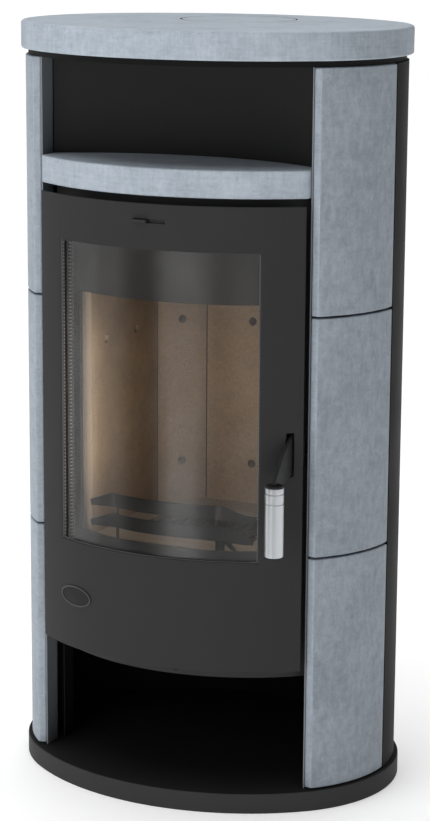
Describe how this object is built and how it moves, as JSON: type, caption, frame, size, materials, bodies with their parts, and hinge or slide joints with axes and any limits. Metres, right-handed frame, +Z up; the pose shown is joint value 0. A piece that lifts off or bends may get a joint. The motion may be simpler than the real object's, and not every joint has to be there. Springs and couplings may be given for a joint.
{
  "type": "wood-burning stove",
  "caption": "Free-standing oval wood-burning stove in black steel with soapstone top, shelf and sides, a curved glazed door with a lift-up lever handle, and an open log bay below.",
  "frame": {"origin": "centre of the oval base at floor level", "axes": "+Z up, -Y out of the glass door, +X to the viewer's right when facing the door"},
  "size_m": [0.6118, 0.48, 1.17],
  "materials": {
    "tray_paint": "satin",
    "zinc_steel": "satin",
    "casing_paint": "satin",
    "top_tray_paint": "matte",
    "front_paint": "satin",
    "door_paint": "satin",
    "firebox_steel": "matte",
    "pan_steel": "satin",
    "cast_iron": "matte",
    "fire_brick": "matte",
    "baffle_board": "matte",
    "flue_paint": "matte",
    "shelf_soapstone": "satin",
    "side_soapstone": "satin",
    "top_soapstone": "satin",
    "felt_pad": "matte",
    "window_glass": "gloss",
    "gasket_tape": "matte",
    "seal_rope": "matte",
    "badge_metal": "gloss",
    "handle_black": "satin",
    "collar_black": "satin",
    "grip_steel": "satin"
  },
  "bodies": {
    "stove_body": {"base_tray": "tray_paint", "levelling_feet": "zinc_steel", "frame_post_left": "casing_paint", "frame_post_right": "casing_paint", "side_panel_left": "casing_paint", "side_panel_right": "casing_paint", "rear_shell": "casing_paint", "rear_heat_shield": "zinc_steel", "bay_roof": "casing_paint", "front_plate": "front_paint", "air_deflector": "front_paint", "firebox_shell": "firebox_steel", "ash_box": "firebox_steel", "ash_pan": "pan_steel", "firebox_sill": "firebox_steel", "fire_grate": "cast_iron", "floor_bricks": "fire_brick", "side_brick_left": "fire_brick", "side_brick_right": "fire_brick", "corner_brick_left": "fire_brick", "corner_brick_right": "fire_brick", "rear_brick": "fire_brick", "smoke_baffle": "baffle_board", "log_guard": "cast_iron", "flue_collar": "flue_paint", "air_spigot": "firebox_steel", "rear_outlet_cover": "casing_paint", "niche_back": "casing_paint", "shelf_support": "casing_paint", "shelf_stone": "shelf_soapstone", "stone_left_bottom": "side_soapstone", "stone_left_middle": "side_soapstone", "stone_left_top": "side_soapstone", "stone_right_bottom": "side_soapstone", "stone_right_middle": "side_soapstone", "stone_right_top": "side_soapstone", "stone_pads": "felt_pad", "top_tray": "top_tray_paint", "top_slab": "top_soapstone", "hinge_brackets": "front_paint", "hinge_pins": "zinc_steel", "latch_keeper": "front_paint", "casing_screws": "casing_paint"},
    "door": {"door_panel": "door_paint", "door_frame": "front_paint", "door_glass": "window_glass", "glass_gasket": "gasket_tape", "glass_clips": "firebox_steel", "door_seal": "seal_rope", "hinge_knuckles": "front_paint", "lever_bracket": "front_paint", "lever_axle": "zinc_steel", "slider_guides": "front_paint", "badge_plate": "badge_metal"},
    "door_handle": {"handle_lever": "handle_black", "handle_collar": "collar_black", "handle_grip": "grip_steel"},
    "air_control": {"air_slider": "front_paint"},
    "flue_cover": {"flue_cover_disc": "top_soapstone"}
  },
  "joints": [
    {"name": "door_hinge", "type": "hinge", "parent": "stove_body", "child": "door", "pos_m": [-0.2035, -0.156, 0.56], "axis": [0, 0, -1], "range_deg": [0, 110]},
    {"name": "handle_lift", "type": "hinge", "parent": "door", "child": "door_handle", "pos_m": [0.203, -0.15, 0.567], "axis": [-1, 0, 0], "range_deg": [0, 25]},
    {"name": "air_slide", "type": "hinge", "parent": "door", "child": "air_control", "pos_m": [0, 0.1271, 0.896], "axis": [0, 0, 1], "range_deg": [0, 4.2]},
    {"name": "flue_cover_lift", "type": "slide", "parent": "stove_body", "child": "flue_cover", "axis": [0, 0, 1], "range_m": [0, 0.4]}
  ]
}
